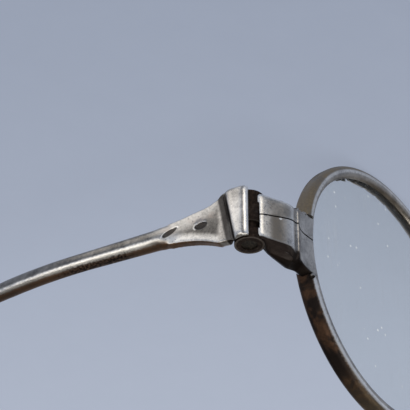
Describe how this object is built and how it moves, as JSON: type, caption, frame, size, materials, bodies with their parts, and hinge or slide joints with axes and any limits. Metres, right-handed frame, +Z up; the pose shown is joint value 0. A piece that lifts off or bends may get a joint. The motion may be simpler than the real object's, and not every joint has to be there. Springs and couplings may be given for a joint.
{
  "type": "side-arm spectacles",
  "caption": "Antique wire-rim spectacles with round lenses, split end pieces, barrel hinges and folding arms that end in flat open rings.",
  "frame": {"origin": "under the middle of the spectacles, level with the lowest point of the rims", "axes": "+X towards the wearer's left, +Y backwards along the arms, +Z up as worn; the front faces -Y"},
  "size_m": [0.1234, 0.1018, 0.034],
  "materials": {
    "silver_front": "worn silver with brown tarnish",
    "silver_rim": "silver with darker brown tarnish",
    "silver_hinge": "blackened silver",
    "silver_arm": "worn and pitted silver",
    "screw_steel": "dark old steel",
    "lens_glass": "clear glass, faintly bluish, a little dusty"
  },
  "bodies": {
    "front_frame": {"bridge": "silver_front", "left_rim": "silver_rim", "right_rim": "silver_rim", "left_lens": "lens_glass", "right_lens": "lens_glass", "left_end_piece_upper": "silver_front", "right_end_piece_upper": "silver_front", "left_end_piece_lower": "silver_front", "right_end_piece_lower": "silver_front", "left_upper_knuckle": "silver_hinge", "right_upper_knuckle": "silver_hinge", "left_lower_knuckle": "silver_hinge", "right_lower_knuckle": "silver_hinge", "left_hinge_screw": "screw_steel", "right_hinge_screw": "screw_steel"},
    "left_side_arm": {"left_arm": "silver_arm", "left_arm_knuckle": "silver_hinge", "left_temple_ring": "silver_arm"},
    "right_side_arm": {"right_arm": "silver_arm", "right_arm_knuckle": "silver_hinge", "right_temple_ring": "silver_arm"}
  },
  "joints": [
    {"name": "left_arm_fold", "type": "hinge", "parent": "front_frame", "child": "left_side_arm", "pos_m": [0.0533, -0.04638, 0.017], "axis": [0, 0, 1], "range_deg": [-28, 94.5]},
    {"name": "right_arm_fold", "type": "hinge", "parent": "front_frame", "child": "right_side_arm", "pos_m": [-0.0533, -0.04638, 0.017], "axis": [0, 0, -1], "range_deg": [-28, 85]}
  ]
}
